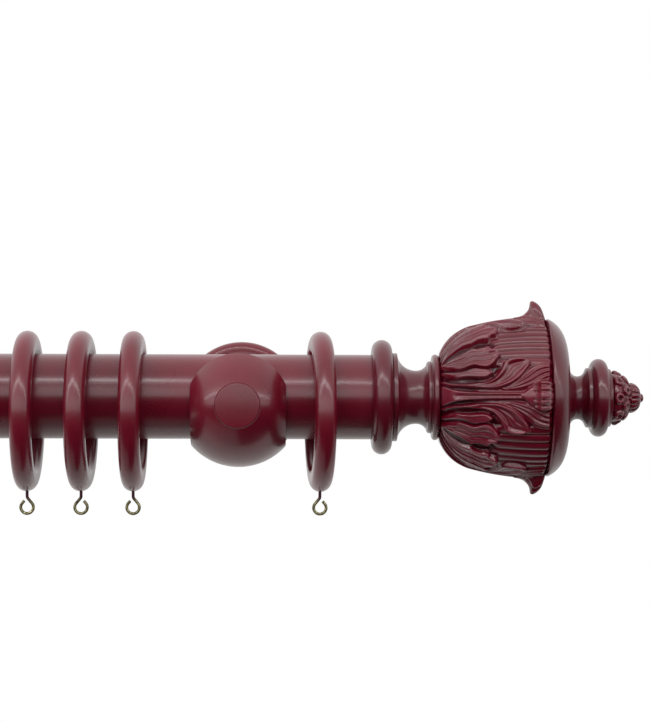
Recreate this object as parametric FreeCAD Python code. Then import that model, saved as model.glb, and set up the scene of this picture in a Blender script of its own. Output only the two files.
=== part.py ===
"""A 50 mm wooden curtain pole with two cup brackets, two carved leaf finials and twelve rings.

Frame, in millimetres: +X along the pole, +Y into the wall, +Z up. The origin lies on the wall's
face, midway between the two wall plates and level with their centres. Every node is written in
that frame, in its place.
"""

import FreeCAD, Part

import math
import os

V = FreeCAD.Vector

# --- driving dimensions -------------------------------------------------------------------------
POLE_R = 25.0
POLE_LENGTH = 1200.0
POLE_END = POLE_LENGTH / 2
POLE_OUT = 90.0  # the pole's axis stands this far out from the wall
POLE_Z = 4.4  # and sits a little above the brackets' turned axis
BRACKET_X = 516.0
RUNNING_GAP = 0.3  # between the pole and what it lies in, or what hangs on it
FIT_GAP = 0.08  # between pieces that turn or slide in each other closely

PLATE_R = 37.2
PLATE_THICK = 16.0
PLATE_SKIN = 2.0  # wood left behind the plate's threaded insert
FIXING_Z = 24.0  # the wall screws' distance above and below the plate's centre
FIXING_R = 2.25
FIXING_HEAD_R = 4.4
STEM_END = 54.0

BALL_R = 37.0  # the ball's radius in the plane of the pole
BALL_FRONT = 42.0  # how far the ball reaches in front of the pole's axis
BALL_HALF_WIDTH = 27.8  # its two sides are sawn flat at this distance
SAWN_ROUND = 0.8  # rounding of the ball's sawn edges
BUTTON_R = 12.9
BUTTON_SEAT = 38.6  # the button's seat, in front of the pole's axis
BUTTON_PROUD = 1.0
BUTTON_TENON_R = 5.0
BUTTON_TENON = 7.0

BOLT_R = 4.0
INSERT_R = 5.5
BOLT_END = 61.0

LOCK_R = 2.0
LOCK_HEAD_R = 3.9
LOCK_HEAD = 2.6
LOCK_SEAT_Z = -31.0
LOCK_POCKET_R = 4.3
LOCK_TIP_GAP = 0.05

RING_INNER_R = 34.0
RING_OUTER_R = 47.2
RING_WIDTH = 12.3
RING_LAND = 5.4  # width of the flat land inside the ring
RING_DROP = RING_INNER_R - POLE_R - RUNNING_GAP  # a ring hangs on the top of the pole

WIRE_R = 0.9
EYE_R = 3.7  # centreline radius of the screw eye's loop
EYE_DROP = 9.5  # from the bottom of the ring to the loop's centre
EYE_BEND = 2.5  # radius of the bend between the neck and the loop
EYE_DEPTH = 9.0  # shank inside the ring
EYE_LEAN = 40.0  # slant of the two flanks that draw the loop to a point, in degrees
EYE_FLANK = 1.9  # straight length at the wire's free end

# Rings on the right half, from the bracket inwards, then the outer one; the left half mirrors them.
RING_PLACES = (454.0, 423.4, 391.7, 231.0, 77.0)
RING_YAWS = (-0.4, -1.0, 0.5, 0.0, -1.0)
OUTER_RING_PLACE = 564.0
OUTER_RING_YAW = 4.4

# Places along a finial are measured outwards from the collar's inner face.
POLE_IN_COLLAR = 5.8
COLLAR_WIDTH = 11.8
COLLAR_R = 33.75
NECK_START = POLE_IN_COLLAR + 0.15
NECK_END = 39.5
STUD_R = 4.0
STUD_IN_POLE = 30.0
STUD_END = 24.0
SLEEVE_R = 6.0
SLEEVE_END = 23.0
PEG_R = 8.0
PEG_START = 30.0
PEG_END = 133.0
CUP_END = 102.4
DOME_END = 113.6
KNOP_END = 140.8
LEAVES = 4


# --- shape helpers ------------------------------------------------------------------------------
def outline(start, *steps):
    """A closed wire in the XY plane. A step is a point, or (middle, end) for an arc."""
    edges, here = [], start
    for step in steps:
        if isinstance(step[0], tuple):
            middle, end = step
            arc = Part.Arc(V(*here, 0), V(*middle, 0), V(*end, 0))
            edges.append(arc.toShape())
        else:
            end = step
            edges.append(Part.makeLine(V(*here, 0), V(*end, 0)))
        here = end
    if here != start:
        edges.append(Part.makeLine(V(*here, 0), V(*start, 0)))
    return Part.Wire(edges)


def turned(start, *steps):
    """A solid turned about X from an outline of (distance along X, radius)."""
    face = Part.Face(outline(start, *steps))
    return face.revolve(V(0, 0, 0), V(1, 0, 0), 360)


def rod(radius, start, end):
    """A round bar along X."""
    return Part.makeCylinder(radius, end - start, V(start, 0, 0), V(1, 0, 0))


def placed(shape, at=(0, 0, 0), turn=0.0, axis=(0, 0, 1)):
    """A copy of the shape, turned about an axis through its own origin and then moved."""
    copy = shape.copy()
    copy.rotate(V(0, 0, 0), V(*axis), turn)
    copy.translate(V(*at))
    return copy


def out_from_wall(shape):
    """Turns a piece made along +X so that it runs from the wall out into the room."""
    return placed(shape, turn=-90)


# --- pole ---------------------------------------------------------------------------------------
def make_pole():
    """The turned pole, drilled at both ends for the studs of the finials."""
    edge = 0.8
    body = turned(
        (-POLE_END, 0),
        (-POLE_END, POLE_R - edge),
        (-POLE_END + edge, POLE_R),
        (POLE_END - edge, POLE_R),
        (POLE_END, POLE_R - edge),
        (POLE_END, 0),
    )
    body = body.cut(rod(STUD_R, POLE_END - STUD_IN_POLE, POLE_END + 1))
    body = body.cut(rod(STUD_R, -POLE_END - 1, -POLE_END + STUD_IN_POLE))
    return placed(body, (0, -POLE_OUT, POLE_Z))


# --- bracket, made along +X from the wall outwards ----------------------------------------------
def make_wall_plate():
    """A turned rosette, with a blind seat for the insert and two countersunk wall screw holes."""
    plate = turned(
        (0, 0),
        (0, PLATE_R - 0.6),
        (0.6, PLATE_R),
        (5.0, PLATE_R),
        ((9.0, PLATE_R - 1.2), (11.0, PLATE_R - 4.6)),
        (11.0, PLATE_R - 6.0),
        ((12.2, 25.6), (15.0, 21.4)),
        (PLATE_THICK, 20.6),
        (PLATE_THICK, 0),
    )
    plate = plate.cut(rod(INSERT_R, PLATE_SKIN, PLATE_THICK + 1))
    sink_end = 9.6
    sink_start = sink_end - (FIXING_HEAD_R - FIXING_R)
    hole = turned(
        (-1, 0),
        (-1, FIXING_R),
        (sink_start, FIXING_R),
        (sink_end, FIXING_HEAD_R),
        (PLATE_THICK + 1, FIXING_HEAD_R),
        (PLATE_THICK + 1, 0),
    )
    for side in (-1, 1):
        plate = plate.cut(placed(hole, (0, 0, side * FIXING_Z)))
    return out_from_wall(plate)


def make_stem():
    """The turned stem between wall plate and ball, bored for the bolt."""
    stem = turned(
        (PLATE_THICK, BOLT_R),
        (PLATE_THICK, 18.4),
        ((PLATE_THICK + 2.0, 19.8), (PLATE_THICK + 4.0, 18.4)),
        (PLATE_THICK + 4.0, 16.8),
        ((35.0, 13.4), (STEM_END - 4.0, 16.8)),
        (STEM_END - 4.0, 18.4),
        ((STEM_END - 2.0, 19.8), (STEM_END, 18.4)),
        (STEM_END, BOLT_R),
    )
    return out_from_wall(stem)


def make_cup():
    """The turned ball, sawn flat at both sides, with an open-topped seat for the pole."""
    front = POLE_OUT + BALL_FRONT
    seat_r = POLE_R + RUNNING_GAP
    ball = turned(
        (STEM_END, 0),
        (STEM_END, 20.0),
        ((POLE_OUT - 22.0, 31.6), (POLE_OUT, BALL_R)),
        ((POLE_OUT + 25.5, 29.9), (front, 13.4)),
        (front, 0),
    )
    ball = out_from_wall(ball)
    saw = Part.makeBox(
        2 * BALL_HALF_WIDTH,
        2 * front,
        4 * BALL_R,
        V(-BALL_HALF_WIDTH, -2 * front, -2 * BALL_R),
    )
    seat = Part.makeCylinder(seat_r, 4 * BALL_R, V(-2 * BALL_R, -POLE_OUT, POLE_Z), V(1, 0, 0))
    way_in = Part.makeBox(
        4 * BALL_R,
        2 * seat_r,
        2 * BALL_R,
        V(-2 * BALL_R, -POLE_OUT - seat_r, POLE_Z),
    )
    ball = ball.common(saw)
    sawn_edges = [e for e in ball.Edges if all(abs(v.X) > BALL_HALF_WIDTH - 0.01 for v in e.Vertexes)]
    ball = ball.makeFillet(SAWN_ROUND, sawn_edges)
    cup = ball.cut(seat.fuse(way_in))
    cup = cup.cut(out_from_wall(rod(BOLT_R, STEM_END - 1, BOLT_END)))
    button_at = POLE_OUT + BUTTON_SEAT
    cup = cup.cut(out_from_wall(rod(BUTTON_R + FIT_GAP, button_at, front + 1)))
    cup = cup.cut(out_from_wall(rod(BUTTON_TENON_R, button_at - BUTTON_TENON, button_at + 1)))
    for radius, top in ((LOCK_R, 0), (LOCK_POCKET_R, LOCK_SEAT_Z)):
        low = V(0, -POLE_OUT, -BALL_R - 1)
        cup = cup.cut(Part.makeCylinder(radius, top - low.z, low))
    return cup.removeSplitter()


def make_button():
    """The flat button let into the front of the ball."""
    seat = POLE_OUT + BUTTON_SEAT
    face = POLE_OUT + BALL_FRONT + BUTTON_PROUD
    button = turned(
        (seat - BUTTON_TENON, 0),
        (seat - BUTTON_TENON, BUTTON_TENON_R),
        (seat, BUTTON_TENON_R),
        (seat, BUTTON_R),
        (face - 0.7, BUTTON_R),
        ((face - 0.2, BUTTON_R - 0.2), (face, BUTTON_R - 0.7)),
        ((face + 0.35, BUTTON_R / 2), (face + 0.5, 0.5)),
        (face + 0.5, 0),
    )
    return out_from_wall(button)


def make_bracket_bolt():
    """The steel bolt that draws the ball and its stem up to the insert in the wall plate."""
    bolt = turned(
        (PLATE_SKIN + 1, 0),
        (PLATE_SKIN + 1, BOLT_R),
        (BOLT_END - 2, BOLT_R),
        (BOLT_END, 2.4),
        (BOLT_END, 0),
    )
    return out_from_wall(bolt)


def make_bracket_insert():
    """The threaded insert in the back of the wall plate's centre."""
    sleeve = turned(
        (PLATE_SKIN, BOLT_R),
        (PLATE_SKIN, INSERT_R),
        (PLATE_THICK - 0.3, INSERT_R),
        (PLATE_THICK - 0.3, BOLT_R),
    )
    return out_from_wall(sleeve)


def make_lock_screw():
    """The screw that holds the pole from below, with a cross slot in its head."""
    tip = POLE_Z - POLE_R - LOCK_TIP_GAP
    low = LOCK_SEAT_Z - LOCK_HEAD
    slot_wide, slot_long, slot_deep = 0.9, 5.2, 1.4
    screw = Part.makeCylinder(LOCK_R, tip - LOCK_SEAT_Z, V(0, -POLE_OUT, LOCK_SEAT_Z))
    screw = screw.fuse(Part.makeCylinder(LOCK_HEAD_R, LOCK_HEAD, V(0, -POLE_OUT, low)))
    for wide, deep in ((slot_long, slot_wide), (slot_wide, slot_long)):
        corner = V(-wide / 2, -POLE_OUT - deep / 2, low - 1)
        screw = screw.cut(Part.makeBox(wide, deep, slot_deep + 1, corner))
    return screw.removeSplitter()


# --- rings, made about their own centre ---------------------------------------------------------
def make_ring():
    """A turned ring about X, round outside and with a narrow land inside, drilled for its eye."""
    half, land = RING_WIDTH / 2, RING_LAND / 2
    shoulder = RING_OUTER_R - 6.6
    heel = RING_INNER_R + 3.6
    ring = turned(
        (-land, RING_INNER_R),
        (land, RING_INNER_R),
        ((half - 1.0, RING_INNER_R + 1.1), (half, heel)),
        (half, shoulder),
        ((0, RING_OUTER_R), (-half, shoulder)),
        (-half, heel),
        ((-half + 1.0, RING_INNER_R + 1.1), (-land, RING_INNER_R)),
    )
    hole = Part.makeCylinder(WIRE_R, EYE_DEPTH + 1, V(0, 0, -RING_OUTER_R - 1))
    return ring.cut(hole)


def bent_wire(centre, start, degrees):
    """Round wire bent about an upright circle's centre, from a start point, by an angle."""
    section = Part.Face(Part.Wire(Part.makeCircle(WIRE_R, start, (start - centre).cross(V(0, 1, 0)))))
    return section.revolve(centre, V(0, 1, 0), degrees)


def straight_wire(start, direction, length):
    """A straight length of the same wire."""
    return Part.makeCylinder(WIRE_R, length, start, direction)


def make_eye():
    """A screw eye: a shank in the ring, a bend to one side and a pear-shaped loop, left just open."""
    bottom = -RING_OUTER_R
    lean = math.radians(EYE_LEAN)
    loop = V(0, 0, bottom - EYE_DROP)
    flank = V(math.sin(lean), 0, -math.cos(lean))
    touch = loop + V(math.cos(lean), 0, math.sin(lean)) * EYE_R
    aside = EYE_BEND * (1 - math.cos(lean))
    flank_length = (touch.x - aside) / flank.x
    flank_top = touch - flank * flank_length
    neck_end = V(0, 0, flank_top.z + EYE_BEND * math.sin(lean))
    leave = loop + V(-math.cos(lean), 0, math.sin(lean)) * EYE_R
    eye = straight_wire(neck_end, V(0, 0, 1), bottom + EYE_DEPTH - neck_end.z)
    eye = eye.fuse(bent_wire(neck_end + V(EYE_BEND, 0, 0), neck_end, -EYE_LEAN))
    eye = eye.fuse(straight_wire(flank_top, flank, flank_length))
    eye = eye.fuse(bent_wire(loop, touch, 180 + 2 * EYE_LEAN))
    eye = eye.fuse(straight_wire(leave, V(flank.x, 0, -flank.z), EYE_FLANK))
    return eye.removeSplitter()


# --- finial, made along +X from the collar's inner face -----------------------------------------
def make_collar():
    """The oval-sectioned collar over the joint of pole and finial."""
    middle, high = COLLAR_WIDTH / 2, 27.4
    inner = POLE_R + FIT_GAP
    return turned(
        (0.6, inner),
        (0, inner + 0.9),
        (0, high),
        ((middle, COLLAR_R), (COLLAR_WIDTH, high)),
        (COLLAR_WIDTH, inner + 0.9),
        (COLLAR_WIDTH - 0.6, inner),
    )


def make_neck():
    """The turned neck: a spigot inside the collar, a fillet, a deep cove and two beads."""
    fillet = COLLAR_WIDTH + 0.2
    neck = turned(
        (NECK_START, 0),
        (NECK_START, POLE_R),
        (fillet, POLE_R),
        (fillet, 25.7),
        (fillet + 0.4, 26.0),
        (fillet + 2.4, 26.0),
        (fillet + 3.1, 24.2),
        ((18.9, 18.3), (26.0, 15.7)),
        ((29.8, 16.6), (32.4, 19.2)),
        ((33.6, 21.1), (35.2, 21.2)),
        (35.5, 23.6),
        ((37.5, 25.2), (NECK_END, 24.4)),
        (NECK_END, 0),
    )
    neck = neck.cut(rod(SLEEVE_R, NECK_START - 1, SLEEVE_END))
    neck = neck.cut(rod(STUD_R + FIT_GAP, SLEEVE_END - 1, STUD_END + 1.5))
    return neck.cut(rod(PEG_R, PEG_START, NECK_END + 1))


def make_finial_insert():
    """The threaded sleeve in the neck, which turns on the stud."""
    return turned(
        (NECK_START, STUD_R + FIT_GAP),
        (NECK_START, SLEEVE_R),
        (SLEEVE_END, SLEEVE_R),
        (SLEEVE_END, STUD_R + FIT_GAP),
    )


def make_stud():
    """The steel stud that stays in the pole when the finial is turned off."""
    start = POLE_IN_COLLAR - STUD_IN_POLE
    return turned(
        (start, 0),
        (start, 2.4),
        (start + 2, STUD_R),
        (STUD_END - 2, STUD_R),
        (STUD_END, 2.4),
        (STUD_END, 0),
    )


def make_finial_peg():
    """The wooden peg glued through neck, cup, dome and knop."""
    return rod(PEG_R, PEG_START, PEG_END)


def leaf_shell():
    """The body of revolution that all four leaves are cut from, with its curled-out lip."""
    return turned(
        (NECK_END, 22.0),
        (NECK_END, 25.2),
        ((46.6, 35.8), (57.3, 42.3)),
        ((71.6, 45.7), (85.6, 47.9)),
        ((90.8, 51.3), (93.5, 58.0)),
        ((98.6, 55.4), (101.0, 50.0)),
        (CUP_END, 46.5),
        (CUP_END, 42.0),
        ((80.0, 42.0), (60.0, 37.6)),
        ((48.5, 32.0), (NECK_END + 1, 22.0)),
    )


def leaf_side():
    """Half of a leaf's outline seen from outside: three lobes, then the narrow neck of its tip."""
    return [
        (NECK_END, 14.0),
        ((44.6, 22.6), (52.0, 26.6)),
        ((57.0, 27.4), (61.0, 24.6)),
        ((68.0, 27.6), (75.6, 24.8)),
        ((79.4, 22.4), (79.0, 18.0)),
        ((86.0, 19.4), (91.6, 15.2)),
        ((93.4, 12.0), (92.8, 9.4)),
        ((98.0, 11.0), (CUP_END - 1.0, 8.0)),
        (CUP_END, 0.0),
    ]


def mirrored(step):
    """The same outline step on the leaf's other side."""
    if isinstance(step[0], tuple):
        return tuple((x, -y) for x, y in step)
    return (step[0], -step[1])


def backwards(start, steps):
    """The steps of an outline walked from its end back to its start."""
    ends = [start] + [step[1] if isinstance(step[0], tuple) else step for step in steps]
    back = []
    for k in range(len(steps) - 1, -1, -1):
        arc = isinstance(steps[k][0], tuple)
        back.append((steps[k][0], ends[k]) if arc else ends[k])
    return back


def make_leaf_cup():
    """The carved cup: a bell with four lobed leaves, whose tips curl out over the rim."""
    bell = turned(
        (NECK_END, PEG_R),
        (NECK_END, 24.0),
        ((46.6, 33.2), (57.3, 39.4)),
        ((75.0, 43.2), (CUP_END - 1.0, 44.8)),
        (CUP_END, 44.0),
        (CUP_END, 36.0),
        (CUP_END - 6.0, 36.0),
        (CUP_END - 6.0, PEG_R),
    )
    first, steps = (NECK_END, 0.0), leaf_side()
    other = backwards(first, [mirrored(step) for step in steps])
    blade = Part.Face(outline(first, *steps, *other)).extrude(V(0, 0, 70))
    leaf = leaf_shell().common(blade)
    for k in range(LEAVES):
        bell = bell.fuse(placed(leaf, turn=k * 360.0 / LEAVES, axis=(1, 0, 0)))
    return bell.removeSplitter()


def make_dome():
    """The smooth dome that closes the mouth of the cup, with a spigot that seats in it."""
    return turned(
        (CUP_END - 6.0, PEG_R),
        (CUP_END - 6.0, 35.9),
        (CUP_END, 35.9),
        (CUP_END, 45.8),
        (104.0, 46.4),
        ((110.9, 40.6), (DOME_END, 27.0)),
        (DOME_END, PEG_R),
    )


def make_knop():
    """The upper turning: a flared foot, a cove, a fillet, a bold ring and a second fillet."""
    return turned(
        (DOME_END, PEG_R),
        (DOME_END, 26.0),
        (114.4, 25.8),
        ((115.0, 19.6), (117.6, 15.0)),
        ((121.3, 12.7), (125.4, 14.8)),
        (126.6, 17.4),
        (129.1, 17.5),
        ((134.0, 23.0), (138.9, 17.5)),
        (139.2, 17.0),
        (KNOP_END, 17.0),
        (KNOP_END, 6.0),
        (PEG_END, 6.0),
        (PEG_END, PEG_R),
    )


def make_bud():
    """The bud: two tiers of scales, a ribbed cap and a bead at its tip, on a tenon."""
    return turned(
        (PEG_END, 0),
        (PEG_END, 6.0),
        (KNOP_END, 6.0),
        (KNOP_END, 14.4),
        ((144.0, 15.8), (147.0, 13.6)),
        ((149.4, 13.4), (151.6, 10.4)),
        ((156.4, 9.0), (159.2, 3.2)),
        ((160.4, 2.0), (160.8, 0.5)),
        (160.8, 0),
    )


# --- assembly -----------------------------------------------------------------------------------
BRACKET_PIECES = {
    "wall_plate": make_wall_plate,
    "insert": make_bracket_insert,
    "bolt": make_bracket_bolt,
    "stem": make_stem,
    "cup": make_cup,
    "button": make_button,
    "lock_screw": make_lock_screw,
}

FINIAL_PIECES = {
    "collar": make_collar,
    "stud": make_stud,
    "insert": make_finial_insert,
    "neck": make_neck,
    "peg": make_finial_peg,
    "leaf_cup": make_leaf_cup,
    "dome": make_dome,
    "knop": make_knop,
    "bud": make_bud,
}


def bracket_nodes(side, at):
    """One bracket, in its place on the wall."""
    pieces = BRACKET_PIECES.items()
    return {f"{side}_bracket_{name}": placed(make(), (at, 0, 0)) for name, make in pieces}


def finial_nodes(side, turn):
    """The right finial as it is made, or the left one, turned half round about the vertical."""
    nodes = {}
    for name, make in FINIAL_PIECES.items():
        piece = placed(make(), (POLE_END - POLE_IN_COLLAR, 0, 0))
        nodes[f"{side}_finial_{name}"] = placed(piece, (0, -POLE_OUT, POLE_Z), turn=turn)
    return nodes


def ring_nodes(name, at, yaw, flip):
    """A ring and its screw eye, hung on the pole; some eyes open the other way."""
    centre = (at, -POLE_OUT, POLE_Z - RING_DROP)
    ring = placed(make_ring(), centre, turn=yaw)
    eye = placed(make_eye(), centre, turn=yaw + (180 if flip else 0))
    return {name: ring, f"{name}_eye": eye}


def all_nodes():
    """Every node of the assembly by name."""
    nodes = {"pole": make_pole()}
    for side, sign, turn in (("right", 1, 0), ("left", -1, 180)):
        nodes.update(bracket_nodes(side, sign * BRACKET_X))
        nodes.update(finial_nodes(side, turn))
        for k, (at, yaw) in enumerate(zip(RING_PLACES, RING_YAWS)):
            nodes.update(ring_nodes(f"{side}_ring_{k + 1}", sign * at, sign * yaw, k % 2 == 1))
        outer = (sign * OUTER_RING_PLACE, sign * OUTER_RING_YAW, True)
        nodes.update(ring_nodes(f"{side}_ring_outer", *outer))
    return nodes


def main():
    """Writes one file for each node."""
    os.makedirs("parts", exist_ok=True)
    for name, shape in all_nodes().items():
        shape.exportStep(f"parts/{name}.step")


main()
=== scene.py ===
import math

import bmesh
import bpy
import numpy as np
from mathutils import Matrix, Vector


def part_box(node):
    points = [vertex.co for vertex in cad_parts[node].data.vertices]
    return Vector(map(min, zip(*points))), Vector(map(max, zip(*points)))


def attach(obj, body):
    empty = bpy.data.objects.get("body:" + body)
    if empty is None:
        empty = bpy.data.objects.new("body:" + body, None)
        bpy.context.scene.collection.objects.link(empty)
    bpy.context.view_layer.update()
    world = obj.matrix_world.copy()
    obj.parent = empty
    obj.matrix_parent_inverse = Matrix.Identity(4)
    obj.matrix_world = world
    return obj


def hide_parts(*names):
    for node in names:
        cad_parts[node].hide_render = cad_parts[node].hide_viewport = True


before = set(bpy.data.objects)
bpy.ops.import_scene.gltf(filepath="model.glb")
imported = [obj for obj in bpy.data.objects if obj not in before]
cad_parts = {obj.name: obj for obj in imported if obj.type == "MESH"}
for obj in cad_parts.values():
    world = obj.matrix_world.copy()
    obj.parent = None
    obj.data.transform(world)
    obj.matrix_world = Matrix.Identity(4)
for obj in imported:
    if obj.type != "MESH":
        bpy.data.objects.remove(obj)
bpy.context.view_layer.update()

# A curtain pole on two brackets, with its rings and finials. The pole, the rings and the finials'
# turned and carved pieces are made here in full detail; the other pieces keep their CAD shapes and
# get their finish. Lengths are metres, and millimetres in the outlines and the carving.
MM = 0.001
SIDES = ("right", "left")
RINGS = ["1", "2", "3", "4", "5", "outer"]


def middle(node):
    """The centre of a CAD node's box, in metres."""
    low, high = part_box(node)
    return (low + high) / 2


POLE_AXIS = middle("pole")
POLE_LOW, POLE_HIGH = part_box("pole")
POLE_R = (POLE_HIGH.z - POLE_LOW.z) / 2
# The heights between which a screw eye's wire changes from rubbed loop to dark shank; the
# dark shank is a painted reflection of the wine-red ring.
EYE_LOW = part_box("right_ring_1_eye")[0].z
EYE_RUBBED, EYE_SHANK = EYE_LOW + 0.0075, EYE_LOW + 0.0105
# Where each finial starts: the inner face of its collar, on the pole's axis.
FINIAL_FROM = {
    "right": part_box("right_finial_collar")[0].x,
    "left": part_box("left_finial_collar")[1].x,
}


# --- outlines and turned pieces -----------------------------------------------------------------
def arc(start, through, end, spacing=0.8):
    """Points in millimetres along the circular arc through three points, leaving out its start."""
    (ax, ay), (bx, by), (cx, cy) = start, through, end
    d = 2 * (ax * (by - cy) + bx * (cy - ay) + cx * (ay - by))
    a2, b2, c2 = ax * ax + ay * ay, bx * bx + by * by, cx * cx + cy * cy
    ux = (a2 * (by - cy) + b2 * (cy - ay) + c2 * (ay - by)) / d
    uy = (a2 * (cx - bx) + b2 * (ax - cx) + c2 * (bx - ax)) / d
    radius = math.hypot(ax - ux, ay - uy)
    first = math.atan2(ay - uy, ax - ux)
    way = math.atan2(by - uy, bx - ux) - first
    full = math.atan2(cy - uy, cx - ux) - first
    turn = math.tau if d > 0 else -math.tau
    way, full = way % turn, full % turn
    count = max(4, round(abs(full) * radius / spacing))
    angles = [first + full * k / count for k in range(1, count + 1)]
    return [(ux + radius * math.cos(t), uy + radius * math.sin(t)) for t in angles]


def outline(start, *steps, spacing=0.8):
    """An open outline from its steps: a point, or (middle, end) for an arc."""
    points = [start]
    for step in steps:
        if isinstance(step[0], tuple):
            points += arc(points[-1], step[0], step[1], spacing)
        else:
            points.append(step)
    return points


def new_mesh(name, bm):
    """Makes a smooth-shaded mesh of a bmesh that is in metres."""
    mesh = bpy.data.meshes.new(name)
    bmesh.ops.recalc_face_normals(bm, faces=bm.faces)
    bm.to_mesh(mesh)
    bm.free()
    mesh.shade_smooth()
    return mesh


def new_piece(name, mesh):
    """An object with its own copy of a mesh."""
    piece = bpy.data.objects.new(name, mesh.copy())
    bpy.context.scene.collection.objects.link(piece)
    return piece


def turned(name, points, steps=128, closed=False):
    """A solid of revolution about X from points (along, radius) in millimetres."""
    bm = bmesh.new()
    verts = [bm.verts.new((x * MM, 0, r * MM)) for x, r in points]
    pairs = list(zip(verts, verts[1:])) + ([(verts[-1], verts[0])] if closed else [])
    edges = [bm.edges.new(pair) for pair in pairs]
    bmesh.ops.spin(
        bm,
        geom=verts + edges,
        cent=(0, 0, 0),
        axis=(1, 0, 0),
        angle=math.tau,
        steps=steps,
        use_merge=True,
    )
    bmesh.ops.remove_doubles(bm, verts=bm.verts, dist=1e-6)
    return new_mesh(name, bm)


def put(piece, at=(0, 0, 0), turn=0.0, axis="Z"):
    """Turns a piece about an axis through the origin and moves it, inside its own mesh."""
    piece.data.transform(Matrix.Translation(at) @ Matrix.Rotation(turn, 4, axis))
    return piece


def hand_over(piece, node, body):
    """The piece stands for a CAD node and rides on its body."""
    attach(piece, body)
    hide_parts(node)
    return piece


# --- finishes -----------------------------------------------------------------------------------
def srgb(code):
    """A hex colour as linear red, green, blue and alpha."""
    parts = [int(code[k : k + 2], 16) / 255 for k in (1, 3, 5)]
    linear = [c / 12.92 if c <= 0.04045 else ((c + 0.055) / 1.055) ** 2.4 for c in parts]
    return (*linear, 1.0)


class Finish:
    """A material being built."""

    def __init__(self, name):
        self.material = bpy.data.materials.new(name)
        self.material.use_nodes = True
        self.nodes = self.material.node_tree.nodes
        self.links = self.material.node_tree.links
        self.shader = self.nodes["Principled BSDF"]

    def add(self, kind, settings=None, **inputs):
        """Adds a node; an input is a value, or a node's output to link."""
        node = self.nodes.new(kind)
        for key, value in (settings or {}).items():
            setattr(node, key, value)
        for key, value in inputs.items():
            self.feed(node, key.replace("_", " "), value)
        return node

    def feed(self, node, key, value):
        """Sets or links one input, named or numbered as n0, n1."""
        socket = node.inputs[int(key[1:])] if key[1:].isdigit() and key[0] == "n" else node.inputs[key]
        if isinstance(value, bpy.types.NodeSocket):
            self.links.new(value, socket)
        else:
            socket.default_value = value

    def set(self, **inputs):
        """Sets or links the shader's own inputs."""
        for key, value in inputs.items():
            self.feed(self.shader, key.replace("_", " "), value)


def ramp(finish, value, *stops):
    """A colour ramp over a value; each stop is a place and a colour."""
    node = finish.add("ShaderNodeValToRGB", Fac=value)
    elements = node.color_ramp.elements
    while len(elements) < len(stops):
        elements.new(0.5)
    for element, (place, colour) in zip(elements, stops):
        element.position = place
        element.color = colour
    return node.outputs["Color"]


def level(amount):
    """A grey for a ramp that carries a plain number."""
    return (amount, amount, amount, 1.0)


WINE = ("#5C0519", "#6A0A22")
# The finials' shades, a little deeper than the pole's and less so on their carving, are painted
# shade for the light that falls off towards the finials. They were chosen.
FINIAL_WINE_SHADED = ("#4E0415", "#5A081D")
CARVED_WINE_SHADED = ("#570517", "#640920")


def wine_lacquer(name, wine=WINE, grain_axis=0, carved=False):
    """Pigmented lacquer, sprayed and rubbed down on turned wood. It gives an even, deep wine red
    under a satin sheen, with the faintest grain telegraphing through and a little darkening where
    the spray lay thicker. On carving, painted shade darkens the hollows and weakens their
    reflections, and a painted highlight lightens the ridges."""
    f = Finish(name)
    place = f.add("ShaderNodeTexCoord").outputs["Object"]
    stretch = [1 / 0.0016] * 3  # grain lines about 1.6 mm apart
    stretch[grain_axis] = 1 / 0.045
    along = f.add("ShaderNodeMapping", Vector=place, Scale=stretch)
    grain = f.add("ShaderNodeTexNoise", Vector=along.outputs[0], Scale=1.0, Detail=4.0, Roughness=0.6)
    cloud = f.add("ShaderNodeTexNoise", Vector=place, Scale=1 / 0.035, Detail=3.0, Roughness=0.5)
    peel = f.add("ShaderNodeTexNoise", Vector=place, Scale=1 / 0.0011, Detail=2.0, Roughness=0.5)
    colour = ramp(
        f,
        cloud.outputs["Fac"],
        (0.3, srgb(wine[0])),
        (0.7, srgb(wine[1])),
    )
    lacquer_tone = f.add(
        "ShaderNodeMix",
        {"data_type": "RGBA", "blend_type": "MULTIPLY"},
        Factor=0.35,
        n6=colour,
        n7=ramp(f, grain.outputs["Fac"], (0.35, level(0.78)), (0.62, level(1.0))),
    ).outputs[2]
    if carved:
        # On carving, painted shade darkens the hollows: their colour goes towards a near black red and
        # their reflections are weakened.
        hollow = f.add("ShaderNodeAttribute", {"attribute_name": "hollow"}).outputs["Fac"]
        painted_shade_on_specular = ramp(f, hollow, (0.2, level(0.5)), (0.8, level(0.12)))
        f.set(Specular_IOR_Level=painted_shade_on_specular)
        lacquer_tone = f.add(
            "ShaderNodeMix",
            {"data_type": "RGBA", "blend_type": "MIX"},
            Factor=ramp(f, hollow, (0.15, level(0.0)), (0.85, level(0.85))),
            n6=lacquer_tone,
            n7=srgb("#240006"),
        ).outputs[2]
        # A painted highlight lightens the carving's ridges towards a pale pink.
        lacquer_tone = f.add(
            "ShaderNodeMix",
            {"data_type": "RGBA", "blend_type": "MIX"},
            Factor=ramp(
                f,
                f.add("ShaderNodeAttribute", {"attribute_name": "ridge"}).outputs["Fac"],
                (0.3, level(0.0)),
                (1.0, level(0.35)),
            ),
            n6=lacquer_tone,
            n7=srgb("#7E3040"),
        ).outputs[2]
    smooth, dull = (0.19, 0.27) if carved else (0.24, 0.34)
    sheen = ramp(f, cloud.outputs["Fac"], (0.25, level(smooth)), (0.75, level(dull)))
    skin = f.add(
        "ShaderNodeBump",
        Strength=0.05,
        Distance=0.0002,
        Height=peel.outputs["Fac"],
    )
    skin = f.add(
        "ShaderNodeBump",
        Strength=0.06,
        Distance=0.0003,
        Height=grain.outputs["Fac"],
        Normal=skin.outputs[0],
    )
    f.set(Base_Color=lacquer_tone, Roughness=sheen, IOR=1.5, Normal=skin.outputs[0])
    f.set(Coat_Weight=0.25, Coat_Roughness=0.12)
    return f.material


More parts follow.
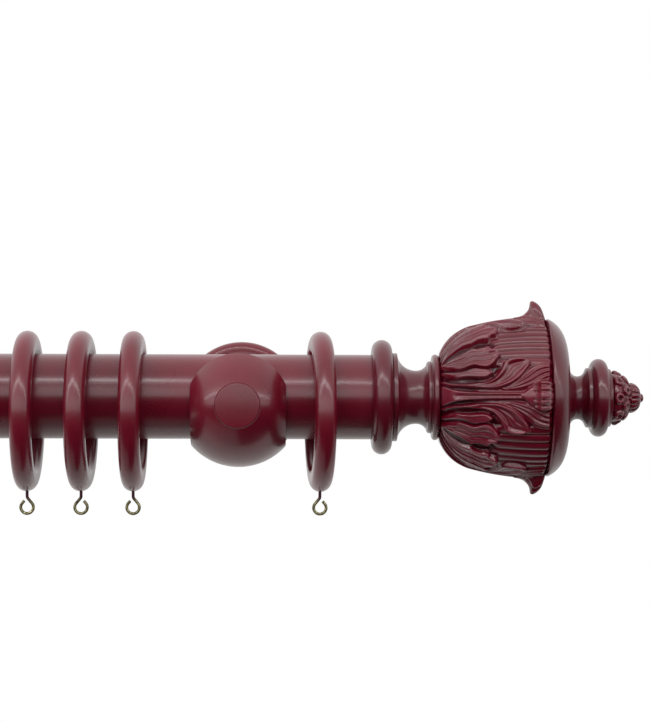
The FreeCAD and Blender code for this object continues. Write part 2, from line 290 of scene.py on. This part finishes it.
def antique_brass():
    """Brass wire, darkened in a bath and relieved by handling. It gives an olive grey metal,
    bright where curtain hooks rub the loop, and purplish brown by the shank, which is a painted
    reflection of the wine-red ring above it."""
    f = Finish("antique brass wire")
    place = f.add("ShaderNodeTexCoord").outputs["Object"]
    patina = f.add("ShaderNodeTexNoise", Vector=place, Scale=1 / 0.0021, Detail=4.0, Roughness=0.6)
    rubbed = ramp(
        f,
        patina.outputs["Fac"],
        (0.35, srgb("#5F5844")),
        (0.5, srgb("#86805F")),
        (0.68, srgb("#B3AB86")),
    )
    height = f.add("ShaderNodeSeparateXYZ", Vector=place).outputs["Z"]
    # Above the loop, the wire fades to a painted reflection of the wine-red ring.
    painted_ring_reflection = f.add("ShaderNodeMapRange", n0=height, n1=EYE_RUBBED, n2=EYE_SHANK).outputs[0]
    colour = f.add(
        "ShaderNodeMix", {"data_type": "RGBA"}, n0=painted_ring_reflection, n6=rubbed, n7=srgb("#4A2C33")
    ).outputs[2]
    dull = ramp(f, patina.outputs["Fac"], (0.3, level(0.5)), (0.7, level(0.24)))
    drawn = f.add("ShaderNodeTexNoise", Vector=place, Scale=1 / 0.0005, Detail=2.0)
    bump = f.add("ShaderNodeBump", Strength=0.12, Distance=0.0001, Height=drawn.outputs["Fac"])
    f.set(Base_Color=colour, Roughness=dull, Metallic=1.0, Normal=bump.outputs[0])
    return f.material


def plated_steel():
    """Bright zinc-plated steel, barrel finished. It gives a cool grey metal with fine scuffs."""
    f = Finish("zinc plated steel")
    place = f.add("ShaderNodeTexCoord").outputs["Object"]
    scuffs = f.add("ShaderNodeTexNoise", Vector=place, Scale=1 / 0.0012, Detail=5.0, Roughness=0.65)
    colour = ramp(f, scuffs.outputs["Fac"], (0.3, srgb("#8E9296")), (0.7, srgb("#C3C6C8")))
    dull = ramp(f, scuffs.outputs["Fac"], (0.3, level(0.42)), (0.7, level(0.25)))
    f.set(Base_Color=colour, Roughness=dull, Metallic=1.0)
    return f.material


def turned_brass():
    """Turned brass, left bare. It gives a warm yellow metal with fine lathe lines."""
    f = Finish("turned brass")
    place = f.add("ShaderNodeTexCoord").outputs["Object"]
    lines = f.add("ShaderNodeMapping", Vector=place, Scale=(1 / 0.0004, 1 / 0.02, 1 / 0.02))
    noise = f.add("ShaderNodeTexNoise", Vector=lines.outputs[0], Scale=1.0, Detail=3.0)
    colour = ramp(f, noise.outputs["Fac"], (0.3, srgb("#A98A4B")), (0.7, srgb("#CDB072")))
    f.set(Base_Color=colour, Roughness=0.32, Metallic=1.0)
    return f.material


def bare_beech():
    """Beech dowel, bare and unsanded. It gives a pale pinkish tan with short dark flecks."""
    f = Finish("bare beech")
    place = f.add("ShaderNodeTexCoord").outputs["Object"]
    along = f.add("ShaderNodeMapping", Vector=place, Scale=(1 / 0.006, 1 / 0.0009, 1 / 0.0009))
    flecks = f.add("ShaderNodeTexNoise", Vector=along.outputs[0], Scale=1.0, Detail=4.0, Roughness=0.6)
    colour = ramp(f, flecks.outputs["Fac"], (0.3, srgb("#A97B50")), (0.6, srgb("#D3AC7E")))
    bump = f.add("ShaderNodeBump", Strength=0.2, Distance=0.0003, Height=flecks.outputs["Fac"])
    f.set(Base_Color=colour, Roughness=0.6, Normal=bump.outputs[0])
    return f.material


LACQUER_ALONG = wine_lacquer("wine lacquer on turned wood")
LACQUER_OUT = wine_lacquer("wine lacquer on bracket wood", grain_axis=1)
LACQUER_FINIAL = wine_lacquer("wine lacquer with painted shade on the finials", FINIAL_WINE_SHADED)
LACQUER_CARVED = wine_lacquer("wine lacquer on carved wood", CARVED_WINE_SHADED, carved=True)
BRASS_WIRE = antique_brass()
STEEL = plated_steel()
BRASS = turned_brass()
BEECH = bare_beech()


def finish_with(piece, material):
    """Gives a piece one material."""
    piece.data.materials.clear()
    piece.data.materials.append(material)
    return piece


# --- pole, rings and eyes -----------------------------------------------------------------------
def make_pole():
    """The pole, with softly broken edges at its ends."""
    half = (POLE_HIGH.x - POLE_LOW.x) / 2 / MM
    r = POLE_R / MM
    bore, deep = 4.0, 30.0
    edge = 0.8
    broken = edge * (1 - math.sqrt(0.5))
    points = outline(
        (-half + deep, 0),
        (-half + deep, bore),
        (-half, bore),
        (-half, r - edge),
        ((-half + broken, r - broken), (-half + edge, r)),
    )
    spans, margin = 48, 12
    run = [(-half + margin + 2 * (half - margin) * k / spans, r) for k in range(spans + 1)]
    other = [(-x, y) for x, y in reversed(points)]
    piece = new_piece("pole_turned", turned("pole", points + run + other))
    put(piece, POLE_AXIS)
    finish_with(piece, LACQUER_ALONG)
    return hand_over(piece, "pole", "pole")


def ring_blank():
    """The ring's mesh: round outside, flatter inside, turned about X."""
    outer, inner, half, land = 47.2, 34.0, 6.15, 2.7
    shoulder, heel = outer - 6.6, inner + 3.6
    points = outline(
        (-land, inner),
        ((0, inner - 0.02), (land, inner)),
        ((half - 1.0, inner + 1.1), (half, heel)),
        (half, shoulder),
        ((0, outer), (-half, shoulder)),
        (-half, heel),
        ((-half + 1.0, inner + 1.1), (-land, inner)),
        spacing=0.7,
    )
    return turned("ring", points[:-1], steps=144, closed=True)


def make_ring(name, mesh):
    """One ring, in the plane that its CAD node hangs in."""
    piece = new_piece(f"{name}_turned", mesh)
    put(piece, middle(name), turn=yaw_of(name))
    finish_with(piece, LACQUER_OUT)
    return hand_over(piece, name, name)


def yaw_of(name):
    """How far a ring is turned about the vertical, read from the front of its CAD node."""
    centre = middle(name)
    co = np.array([v.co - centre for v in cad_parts[name].data.vertices])
    front = co[co[:, 1] < 0.97 * co[:, 1].min()]
    return math.atan2(front[:, 0].mean(), -front[:, 1].mean())


# --- bracket ------------------------------------------------------------------------------------
def dress_cad_nodes():
    """Materials for the CAD nodes that stay as they are."""
    for side in SIDES:
        for name, material in (
            ("bracket_wall_plate", LACQUER_OUT),
            ("bracket_stem", LACQUER_OUT),
            ("bracket_cup", LACQUER_OUT),
            ("bracket_button", LACQUER_OUT),
            ("bracket_bolt", STEEL),
            ("bracket_lock_screw", STEEL),
            ("bracket_insert", BRASS),
            ("finial_stud", STEEL),
            ("finial_insert", BRASS),
            ("finial_peg", BEECH),
        ):
            finish_with(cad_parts[f"{side}_{name}"], material)
        for ring in RINGS:
            finish_with(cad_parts[f"{side}_ring_{ring}_eye"], BRASS_WIRE)


# --- finial -------------------------------------------------------------------------------------
def put_on_finial(piece, side):
    """Moves a piece made along +X from the collar's inner face to its place on one side."""
    at = (FINIAL_FROM[side], POLE_AXIS.y, POLE_AXIS.z)
    return put(piece, at, turn=0 if side == "right" else math.pi)


def make_finial_piece(side, name, mesh, material, body="finial"):
    """One piece of a finial, on one side."""
    node = f"{side}_finial_{name}"
    piece = put_on_finial(new_piece(f"{node}_made", mesh), side)
    finish_with(piece, material)
    return hand_over(piece, node, f"{side}_{body}")


COLLAR = outline(
    (0.6, 25.08),
    (0.1, 26.0),
    (0.0, 27.4),
    ((5.9, 33.75), (11.8, 27.4)),
    (11.7, 26.0),
    (11.2, 25.08),
    spacing=0.5,
)

NECK = outline(
    (5.95, 6.0),
    (5.95, 24.6),
    (6.35, 25.0),
    (11.9, 25.0),
    (12.0, 25.5),
    ((12.15, 25.85), (12.5, 26.0)),
    (14.4, 26.0),
    ((14.75, 25.9), (14.9, 25.6)),
    (15.1, 24.2),
    ((18.9, 18.3), (26.0, 15.7)),
    ((29.8, 16.6), (32.4, 19.2)),
    ((33.4, 21.1), (35.1, 20.9)),
    (35.35, 21.2),
    (35.4, 23.4),
    ((37.3, 25.3), (39.3, 24.0)),
    (39.5, 23.0),
    (39.5, 8.0),
    (30.0, 8.0),
    (30.0, 0.0),
    spacing=0.5,
)

DOME = outline(
    (96.4, 8.0),
    (96.4, 35.9),
    (102.3, 35.9),
    (102.4, 45.2),
    ((102.9, 46.1), (104.0, 46.4)),
    ((110.9, 40.6), (113.6, 27.0)),
    (113.6, 8.0),
    spacing=0.7,
)

KNOP = outline(
    (113.6, 8.0),
    (113.6, 25.7),
    ((113.85, 26.0), (114.3, 25.7)),
    ((115.0, 19.6), (117.6, 15.0)),
    ((121.3, 12.7), (125.4, 14.8)),
    (126.5, 17.0),
    ((126.8, 17.5), (127.3, 17.6)),
    (128.9, 17.6),
    (129.1, 17.9),
    ((134.0, 23.0), (138.8, 17.9)),
    (139.0, 17.2),
    (140.5, 17.1),
    (140.8, 16.8),
    (140.8, 6.0),
    (133.0, 6.0),
    (133.0, 8.0),
    spacing=0.4,
)


# --- carving ------------------------------------------------------------------------------------
def ease(low, high, value):
    """Nought below low, one above high, and smooth between."""
    t = np.clip((value - low) / (high - low), 0, 1)
    return t * t * (3 - 2 * t)


def curve(points, per=6):
    """A smooth open curve through given points."""
    p = np.array([points[0], *points, points[-1]], float)
    out = []
    for p0, p1, p2, p3 in zip(p, p[1:], p[2:], p[3:]):
        for t in np.arange(per) / per:
            bend = (2 * p0 - 5 * p1 + 4 * p2 - p3) * t**2 + (3 * p1 - p0 - 3 * p2 + p3) * t**3
            out.append(0.5 * (2 * p1 + (p2 - p0) * t + bend))
    return np.array([*out, p[-1]])


def distance_to(line, u, v):
    """How far each point lies from an open line."""
    best = np.full(u.shape, 1e9)
    for (ax, ay), (bx, by) in zip(line, line[1:]):
        dx, dy = bx - ax, by - ay
        t = np.clip(((u - ax) * dx + (v - ay) * dy) / (dx * dx + dy * dy + 1e-12), 0, 1)
        best = np.minimum(best, np.hypot(u - ax - t * dx, v - ay - t * dy))
    return best


def between(low, high, u, v):
    """How far each point lies inside the shape between two edges, negative outside it,
    and its share of the way across, from 0 on the low edge to 1 on the high one."""
    loop = np.vstack([low, high[::-1]])
    inside = np.zeros(u.shape, bool)
    for (ax, ay), (bx, by) in zip(loop, np.roll(loop, -1, axis=0)):
        if ay != by:
            crosses = (ay > v) != (by > v)
            inside ^= crosses & (u < (bx - ax) * (v - ay) / (by - ay) + ax)
    to_low, to_high = distance_to(low, u, v), distance_to(high, u, v)
    end = distance_to(np.array([low[-1], high[-1]]), u, v)
    depth = np.minimum(np.minimum(to_low, to_high), end)
    return np.where(inside, depth, -depth), to_low / (to_low + to_high + 1e-9)


# The carving is drawn on half a leaf: millimetres up from the neck, and out from the midrib.
# Each lobe lies between a low and a high edge. It stands this high over the bell at its foot and
# at its tip, is scooped, and is creased by folds that run with it.
LOBES = (
    dict(  # the fingers that fan out beside the tip
        low=[(18, 2.6), (30, 3.0), (42, 3.4), (50, 4.8), (56, 7.2), (61.0, 9.8)],
        high=[(18, 3.4), (28, 4.4), (34, 5.8), (40, 8.4), (46, 13.4), (50, 17.4)]
        + [(55, 19.9), (61.4, 20.8)],
        foot=1.0,
        tip=2.7,
        scoop=-0.3,
        folds=4,
        crease=0.55,
    ),
    dict(  # the great lobe, which sweeps out from beside the midrib
        low=[(-2, 7.6), (1, 7.3), (5, 6.1), (10, 5.8), (20, 4.6), (30, 4.4), (36.5, 6.2), (40.3, 8.2)]
        + [(43.6, 10.8), (46.8, 14.6), (48.9, 18.2), (50.2, 21.8)],
        high=[(-2, 9.4), (1, 9.2), (5, 7.9), (10, 7.5), (15, 7.5), (20, 8.0), (24, 8.4), (27.8, 9.9)]
        + [(30.3, 12.1), (32.5, 15.0), (33.9, 18.0), (35.2, 21.0), (38, 23.0), (42, 23.8)]
        + [(46.5, 23.4), (50.2, 21.8)],
        foot=1.9,
        tip=3.7,
        scoop=1.5,
        folds=3,
        crease=0.32,
    ),
    dict(  # the slim lobe in the crook of the great one
        low=[(-2, 14.4), (1, 13.4), (4.6, 11.9), (8.2, 10.9), (12, 11.2), (16, 11.2), (21.5, 10.6)]
        + [(24.6, 10.8), (27, 11.8), (29.0, 13.4)],
        high=[(-2, 15.6), (1, 15.3), (5, 15.0), (10, 15.0), (14, 15.8), (18, 16.9), (22.5, 16.3)]
        + [(25, 15.9), (27, 15.1), (29.0, 13.4)],
        foot=1.8,
        tip=3.9,
        scoop=0.7,
        folds=2,
        crease=0.3,
    ),
    dict(  # the outer lobe, whose edge faces the next leaf
        low=[(-2, 18.4), (1, 18.2), (5, 17.4), (10, 16.6), (14, 17.5), (18, 18.6), (22, 17.4)]
        + [(25.4, 17.0), (27.8, 18.3), (30, 20.5), (31.8, 23.0), (33.2, 25.6)],
        high=[(-2, 19.9), (1, 21.2), (5, 24.2), (8, 26.2), (11, 27.4), (14, 29.2), (17, 31.0)]
        + [(20, 30.2), (23, 30.4), (26.5, 31.6), (28.4, 29.6), (31.4, 28.8), (33.2, 25.6)],
        foot=1.8,
        tip=4.3,
        scoop=1.2,
        folds=4,
        crease=0.34,
    ),
)
# Half widths of the midrib and of the hooked tip, at distances from the neck.
MIDRIB = ((-1, 7.0), (3, 5.2), (6, 4.0), (10, 3.1), (16, 2.5), (26, 2.2), (52, 2.1), (63, 2.1))
TIP = ((43, 0.0), (46, 2.4), (49, 5.0), (52, 7.6), (55, 9.2), (59, 9.6), (61.5, 8.6), (62.9, 7.4))
HOLLOWS = (
    # distance up, distance out, half length, half width, depth, lean: the drilled hollows
    (13.5, 9.3, 4.8, 1.1, 2.6, 0.0),
    (12.0, 30.0, 5.6, 1.3, 2.4, 0.36),
    (24.0, 33.5, 6.5, 2.6, 1.3, 0.12),
    (29.5, 15.6, 3.6, 1.7, 1.4, 1.0),
)
TURNED_UP = math.radians(2.3)  # how far the finial stops past a leaf facing straight forward
CUP_FROM, CUP_LONG = 39.5, 62.9
GROUND = 0.9  # how far the ground is cut below the bell's outline
LOBE_RISE = 1.15  # how boldly the lobes stand out
LOBE_EDGE, TIP_EDGE = -0.55, -0.6  # where their softened edges meet the ground, outside their lines
WIDEST_GIRTH = 48  # past this radius a leaf's width is no longer measured along its own girth
FLUTES = 48
BELL = outline(
    (0, 23.6),
    ((7.1, 32.6), (17.8, 39.3)),
    ((35.5, 43.0), (61.5, 44.4)),
    (62.9, 43.8),
    spacing=0.5,
)
LEAF = outline(
    (0, 25.2),
    ((7.1, 35.8), (17.8, 42.3)),
    ((32.1, 45.6), (46.1, 47.5)),
    ((49.6, 48.7), (52.2, 50.6)),
    ((53.5, 52.4), (54.6, 55.4)),
    ((55.6, 56.9), (57.2, 56.9)),
    ((59.6, 55.0), (61.2, 51.8)),
    (62.2, 48.6),
    (62.9, 46.3),
    spacing=0.5,
)


def profile(points, x):
    """An outline's second number at distances along its first."""
    p = np.array(points)
    return np.interp(x, p[:, 0], p[:, 1])


def flutes_at(a, phi):
    """Convex flutes with rounded ends, which rise out of the bell above the leaves."""
    proud, rounded = 1.35, 2.9
    across = np.abs(2 * ((phi * FLUTES / math.tau) % 1.0) - 1)
    end = np.sqrt(np.clip(1 - ((a - CUP_LONG + rounded) / rounded).clip(min=0) ** 2, 0, 1))
    rib = np.sqrt(np.clip(1 - (across / (0.15 + 0.85 * end)) ** 2, 0, 1)) * end
    return proud * rib * ease(18, 30, a)


def hollow_at(a, w, hollow):
    """The depth of one drilled hollow."""
    up, out, long, wide, deep, lean = hollow
    along = (a - up) * math.cos(lean) + (w - out) * math.sin(lean)
    aside = (w - out) * math.cos(lean) - (a - up) * math.sin(lean)
    return deep * np.exp(-((along / long) ** 4) - (aside / wide) ** 2)


def lobe_at(a, w, lobe):
    """The height of one lobe over the bell, and how far each point lies inside it."""
    low, high = curve(lobe["low"]), curve(lobe["high"])
    inside, across = between(low, high, a, w)
    share = (a - low[0][0]) / (low[-1][0] - low[0][0])
    top = lobe["foot"] + (lobe["tip"] - lobe["foot"]) * ease(0.05, 0.95, share)
    top = top - lobe["scoop"] * ease(0.4, 3.6, inside) * ease(0.1, 0.5, share)
    folds = np.cos(math.tau * lobe["folds"] * (across - 0.5))
    top = top + lobe["crease"] * folds * ease(0.3, 1.4, inside)
    return top * ease(LOBE_EDGE, 0.75, inside), inside


def midrib_at(a, w, rise):
    """The midrib: two ridges with a channel between them."""
    deep = 1.3
    half = profile(MIDRIB, a)
    channel = deep * np.exp(-((w / (0.5 * half)) ** 2)) * ease(4, 14, a) * (1 - ease(46, 52, a))
    return (rise - channel) * ease(-0.5, 0.7, half - w)


def tip_at(a, w, rise):
    """The hooked tip: arched from side to side, with teeth along its crest."""
    tooth, droop, widest = 3.5, 0.45, 9.6
    inside = profile(TIP, a) - w
    teeth = (np.cos(math.tau * w / tooth) - 1) * ease(50, 53, a)
    arch = 1 - droop * (w / widest) ** 2
    return (rise * arch + teeth) * ease(TIP_EDGE, 1.0, inside), inside


def cup_surface(a, phi):
    """Radius of the carved cup, with how hollow and how proud each point is."""
    phi = (phi - TURNED_UP + math.pi / 4) % (math.pi / 2) - math.pi / 4
    bell, leaf = profile(BELL, a), profile(LEAF, a)
    w = leaf.clip(max=WIDEST_GIRTH) * np.abs(phi)
    ground = bell - GROUND
    surface = ground + flutes_at(a, phi)
    surface = surface - sum(hollow_at(a, w, hollow) for hollow in HOLLOWS)
    for lobe in LOBES:
        height, inside = lobe_at(a, w, lobe)
        raised = np.maximum(surface, ground + height * LOBE_RISE)
        surface = np.where(inside > LOBE_EDGE, raised, surface)
    rise = leaf - ground
    surface = np.maximum(surface, ground + midrib_at(a, w, rise))
    height, inside = tip_at(a, w, rise)
    surface = np.where(inside > TIP_EDGE, np.maximum(surface, ground + height), surface)
    hollow = np.clip((bell + 0.3 - surface) / 1.5, 0, 1)
    ridge = np.clip((surface - leaf + 1.2) / 1.2, 0, 1)
    return surface, hollow, ridge


def carve(mesh, blank, surface_of, start):
    """Moves the skin of a turned blank out or in to its carved surface, as a carver would.
    It marks how hollow and how proud each vertex is, for the finish's painted shade and painted
    highlight, and returns the skin."""
    co = np.zeros(len(mesh.vertices) * 3)
    mesh.vertices.foreach_get("co", co)
    co = co.reshape(-1, 3) / MM
    radius = np.hypot(co[:, 1], co[:, 2])
    phi = np.arctan2(co[:, 2], -co[:, 1])
    a = co[:, 0] - start
    skin = (a > -1e-3) & (np.abs(radius - profile(blank, a)) < 1e-3)
    depth, ridge = np.zeros(len(co)), np.zeros(len(co))
    new, depth[skin], ridge[skin] = surface_of(a[skin], phi[skin])
    scale = new / radius[skin]
    co[skin, 1] *= scale
    co[skin, 2] *= scale
    mesh.vertices.foreach_set("co", (co * MM).ravel())
    for name, values in (("hollow", depth), ("ridge", ridge)):
        mesh.attributes.new(name, "FLOAT", "POINT").data.foreach_set("value", values)
    mesh.update()
    return np.flatnonzero(skin)


def rub_down(mesh, skin, rounds, factor=0.5):
    """Softens the skin of a carving, as sanding and lacquer do."""
    bm = bmesh.new()
    bm.from_mesh(mesh)
    bm.verts.ensure_lookup_table()
    verts = [bm.verts[k] for k in skin]
    for _ in range(rounds):
        bmesh.ops.smooth_vert(
            bm, verts=verts, factor=factor, use_axis_x=True, use_axis_y=True, use_axis_z=True
        )
    bm.to_mesh(mesh)
    bm.free()
    return mesh


def leaf_cup_mesh():
    """The carved cup: a turned blank whose skin is carved into four leaves over a fluted bell."""
    fine = 0.44
    count = round(CUP_LONG / fine)
    xs = [CUP_FROM + CUP_LONG * k / count for k in range(count + 1)]
    skin = [(x, profile(BELL, x - CUP_FROM)) for x in xs]
    points = [(CUP_FROM, 8.0), (CUP_FROM, 15.0)] + skin
    points += [(102.4, 40.0), (102.4, 36.0), (96.4, 36.0), (96.4, 8.0)]
    mesh = turned("leaf_cup", points, steps=600, closed=True)
    skin = carve(mesh, BELL, cup_surface, CUP_FROM)
    curl_tips(mesh)
    return rub_down(mesh, skin, 1)


def curl_tips(mesh):
    """Bends the proud part of each leaf's tip back towards the neck, so that it hooks."""
    co = np.zeros(len(mesh.vertices) * 3)
    mesh.vertices.foreach_get("co", co)
    co = co.reshape(-1, 3)
    curls_from, bend = 50.0, 0.02
    proud = (np.hypot(co[:, 1], co[:, 2]) / MM - curls_from).clip(min=0)
    co[:, 0] -= bend * proud**2 * MM
    mesh.vertices.foreach_set("co", co.ravel())
    mesh.update()


BUD_FROM, BUD_LONG = 140.8, 20.0
BUD = outline(
    (0, 13.0),
    ((1.4, 14.4), (4.4, 14.0)),
    ((8.4, 11.8), (11.0, 8.6)),
    ((15.2, 7.6), (18.2, 2.6)),
    ((19.3, 2.2), (20.0, 0.6)),
    spacing=0.25,
)
SCALES = 8
# The two tiers of scales: distance up, shift round in steps, size and rise.
TIERS = ((3.9, 0.0, 3.6, 2.0), (8.9, 0.5, 2.9, 1.9))


def bud_surface(a, phi):
    """Radius of the bud: two tiers of curled scales with hollow eyes, and a ribbed cap."""
    body = profile(BUD, a)
    surface = body.copy()
    hollow = np.zeros(a.shape)
    step = math.tau / SCALES
    for place, shift, size, rise in TIERS:
        aside = ((phi / step + shift + 0.5) % 1.0 - 0.5) * step * body
        along = a - place
        reach = np.hypot(along / (size * 0.95), aside / (size * 1.05))
        dome = rise * np.sqrt(np.clip(1 - reach**2, 0, 1))
        eye = np.exp(-((np.hypot(along - 0.5, aside) / (size * 0.34)) ** 2))
        surface = np.maximum(surface, body + dome - 2.6 * eye * (reach < 1))
        hollow = np.maximum(hollow, eye)
        gap = np.exp(-((reach - 1.05) / 0.12) ** 2)
        surface = surface - 0.5 * gap
        hollow = np.maximum(hollow, 0.6 * gap)
    ribs = 14
    cap = ease(11.6, 12.4, a) * (1 - ease(17.2, 18.0, a))
    wave = np.abs(np.sin(phi * ribs / 2))
    surface = surface + cap * (0.9 * np.sqrt(wave) - 0.55)
    hollow = np.maximum(hollow, cap * (1 - wave) ** 2)
    return surface, hollow, np.clip((surface - body - 0.9) / 0.8, 0, 1)


def bud_mesh():
    """The bud, carved from a turned blank."""
    fine = 0.25
    count = round(BUD_LONG / fine)
    xs = [BUD_LONG * k / count for k in range(count + 1)]
    skin = [(BUD_FROM + x, profile(BUD, x)) for x in xs]
    points = [(133.0, 0.0), (133.0, 5.9), (140.8, 5.9)] + skin + [(BUD_FROM + BUD_LONG, 0.0)]
    mesh = turned("bud", points, steps=280)
    skin = carve(mesh, BUD, bud_surface, BUD_FROM)
    return rub_down(mesh, skin, 1)


# --- stage --------------------------------------------------------------------------------------
def make_floor():
    """A plain pale floor, well below the rod and behind it."""
    half, below, behind = 1.8, 0.9, 0.05
    bm = bmesh.new()
    bmesh.ops.create_grid(bm, x_segments=1, y_segments=1, size=half)
    floor = new_piece("floor", new_mesh("floor", bm))
    put(floor, (POLE_AXIS.x, POLE_AXIS.y + half + behind, -below))
    f = Finish("pale floor")
    place = f.add("ShaderNodeTexCoord").outputs["Object"]
    cloud = f.add("ShaderNodeTexNoise", Vector=place, Scale=3.0, Detail=2.0)
    f.set(
        Base_Color=ramp(f, cloud.outputs["Fac"], (0.3, srgb("#C6C6C3")), (0.7, srgb("#CECECC"))),
        Roughness=0.8,
    )
    finish_with(floor, f.material)


# The studio, by how high a direction points above the camera's side: degrees, brightness.
# A tall soft box stands behind the camera with a strip light above it, and the floor before the
# rod is in shade.
STUDIO = (
    (-180, 0.95),
    (-128, 0.65),
    (-70, 0.42),
    (-61, 0.3),
    (-56, 0.03),
    (-1, 0.02),
    (3.5, 2.0),
    (24, 1.9),
    (31, 0.75),
    (42.5, 0.75),
    (43.5, 9.0),
    (49, 9.0),
    (50.5, 0.8),
    (90, 1.05),
    (135, 1.15),
    (180, 0.95),
)
# How many degrees lower all this lies on the right: the shade on the floor reaches further back
# there, and the strip light hangs a little lower.
LOWER_RIGHT = ((-180, 36), (-62, 36), (0, 0), (45, 7), (180, 7))


def make_studio():
    """Soft light from all round, brighter above, and plain white where the camera looks past."""
    world = bpy.data.worlds.new("studio")
    bpy.context.scene.world = world
    world.use_nodes = True
    tree = world.node_tree
    tree.nodes.clear()

    def add(kind, settings=(), **inputs):
        node = tree.nodes.new(kind)
        for key, value in dict(settings).items():
            setattr(node, key, value)
        for key, value in inputs.items():
            socket = node.inputs[int(key[1:])] if key[1:].isdigit() else node.inputs[key]
            if isinstance(value, bpy.types.NodeSocket):
                tree.links.new(value, socket)
            else:
                socket.default_value = value
        return node.outputs[0]

    def bands(table, place):
        """A value read off a table of degrees and amounts, which a ramp holds as shares of the most."""
        most = max(amount for _, amount in table)
        share = add("ShaderNodeValToRGB", Fac=place)
        elements = share.node.color_ramp.elements
        while len(elements) < len(table):
            elements.new(0.5)
        for element, (degrees, amount) in zip(elements, table):
            element.position = degrees / 360 + 0.5
            element.color = level(amount / most)
        return add("ShaderNodeMath", {"operation": "MULTIPLY"}, n0=share, n1=most)

    ray = add("ShaderNodeTexCoord").node.outputs["Generated"]
    parts = add("ShaderNodeSeparateXYZ", Vector=ray).node.outputs
    back = add("ShaderNodeMath", {"operation": "MULTIPLY"}, n0=parts["Y"], n1=-1.0)
    rise = add("ShaderNodeMath", {"operation": "ARCTAN2"}, n0=parts["Z"], n1=back)
    place = add("ShaderNodeMath", {"operation": "MULTIPLY_ADD"}, n0=rise, n1=1 / math.tau, n2=0.5)
    left_of, right_of = -0.06, 0.05
    right = add("ShaderNodeMapRange", n0=parts["X"], n1=left_of, n2=right_of, n4=1 / 360)
    lower = bands(LOWER_RIGHT, place)
    place = add("ShaderNodeMath", {"operation": "MULTIPLY_ADD"}, n0=lower, n1=right, n2=place)
    dimmer = -0.12
    aside = add("ShaderNodeMath", {"operation": "MULTIPLY_ADD"}, n0=parts["X"], n1=dimmer, n2=1.0)
    strength = add("ShaderNodeMath", {"operation": "MULTIPLY"}, n0=bands(STUDIO, place), n1=aside)
    soft = add("ShaderNodeBackground", Color=level(1.0), Strength=strength)
    plain = add("ShaderNodeBackground", Color=level(1.0), Strength=1.0)
    seen = add("ShaderNodeLightPath").node.outputs["Is Camera Ray"]
    both = add("ShaderNodeMixShader", n0=seen, n1=soft, n2=plain)
    output = tree.nodes.new("ShaderNodeOutputWorld")
    tree.links.new(both, output.inputs["Surface"])


def make_camera():
    """The camera: 1.3 m out from the pole, a little right of the right bracket and above the pole."""
    data = bpy.data.cameras.new("camera")
    camera = bpy.data.objects.new("camera", data)
    bpy.context.scene.collection.objects.link(camera)
    data.sensor_width = 36.0
    data.lens = 110.1
    data.clip_end = 30.0
    aside, away, above = 0.028, 1.302, 0.0236
    turned_right, looks_down, rolled = 1.0, 0.105, 0.2
    bracket = middle("right_bracket_button")
    place = (bracket.x + aside, POLE_AXIS.y - away, POLE_AXIS.z + above)
    camera.matrix_world = (
        Matrix.Translation(place)
        @ Matrix.Rotation(math.radians(-turned_right), 4, "Z")
        @ Matrix.Rotation(math.radians(90 - looks_down), 4, "X")
        @ Matrix.Rotation(math.radians(rolled), 4, "Z")
    )
    bpy.context.scene.camera = camera
    bpy.context.scene.view_settings.view_transform = "Standard"


# --- the whole ----------------------------------------------------------------------------------
make_camera()
make_studio()
make_floor()
make_pole()
dress_cad_nodes()
RING = ring_blank()
FINIAL_PIECES = {
    "neck": (turned("neck", NECK), LACQUER_FINIAL),
    "leaf_cup": (leaf_cup_mesh(), LACQUER_CARVED),
    "dome": (turned("dome", DOME, closed=True), LACQUER_FINIAL),
    "knop": (turned("knop", KNOP, closed=True), LACQUER_FINIAL),
    "bud": (bud_mesh(), LACQUER_CARVED),
}
END_COLLAR = turned("collar", COLLAR, closed=True)
for side in SIDES:
    for ring in RINGS:
        make_ring(f"{side}_ring_{ring}", RING)
    make_finial_piece(side, "collar", END_COLLAR, LACQUER_FINIAL, body="collar")
    for name, (mesh, material) in FINIAL_PIECES.items():
        make_finial_piece(side, name, mesh, material)
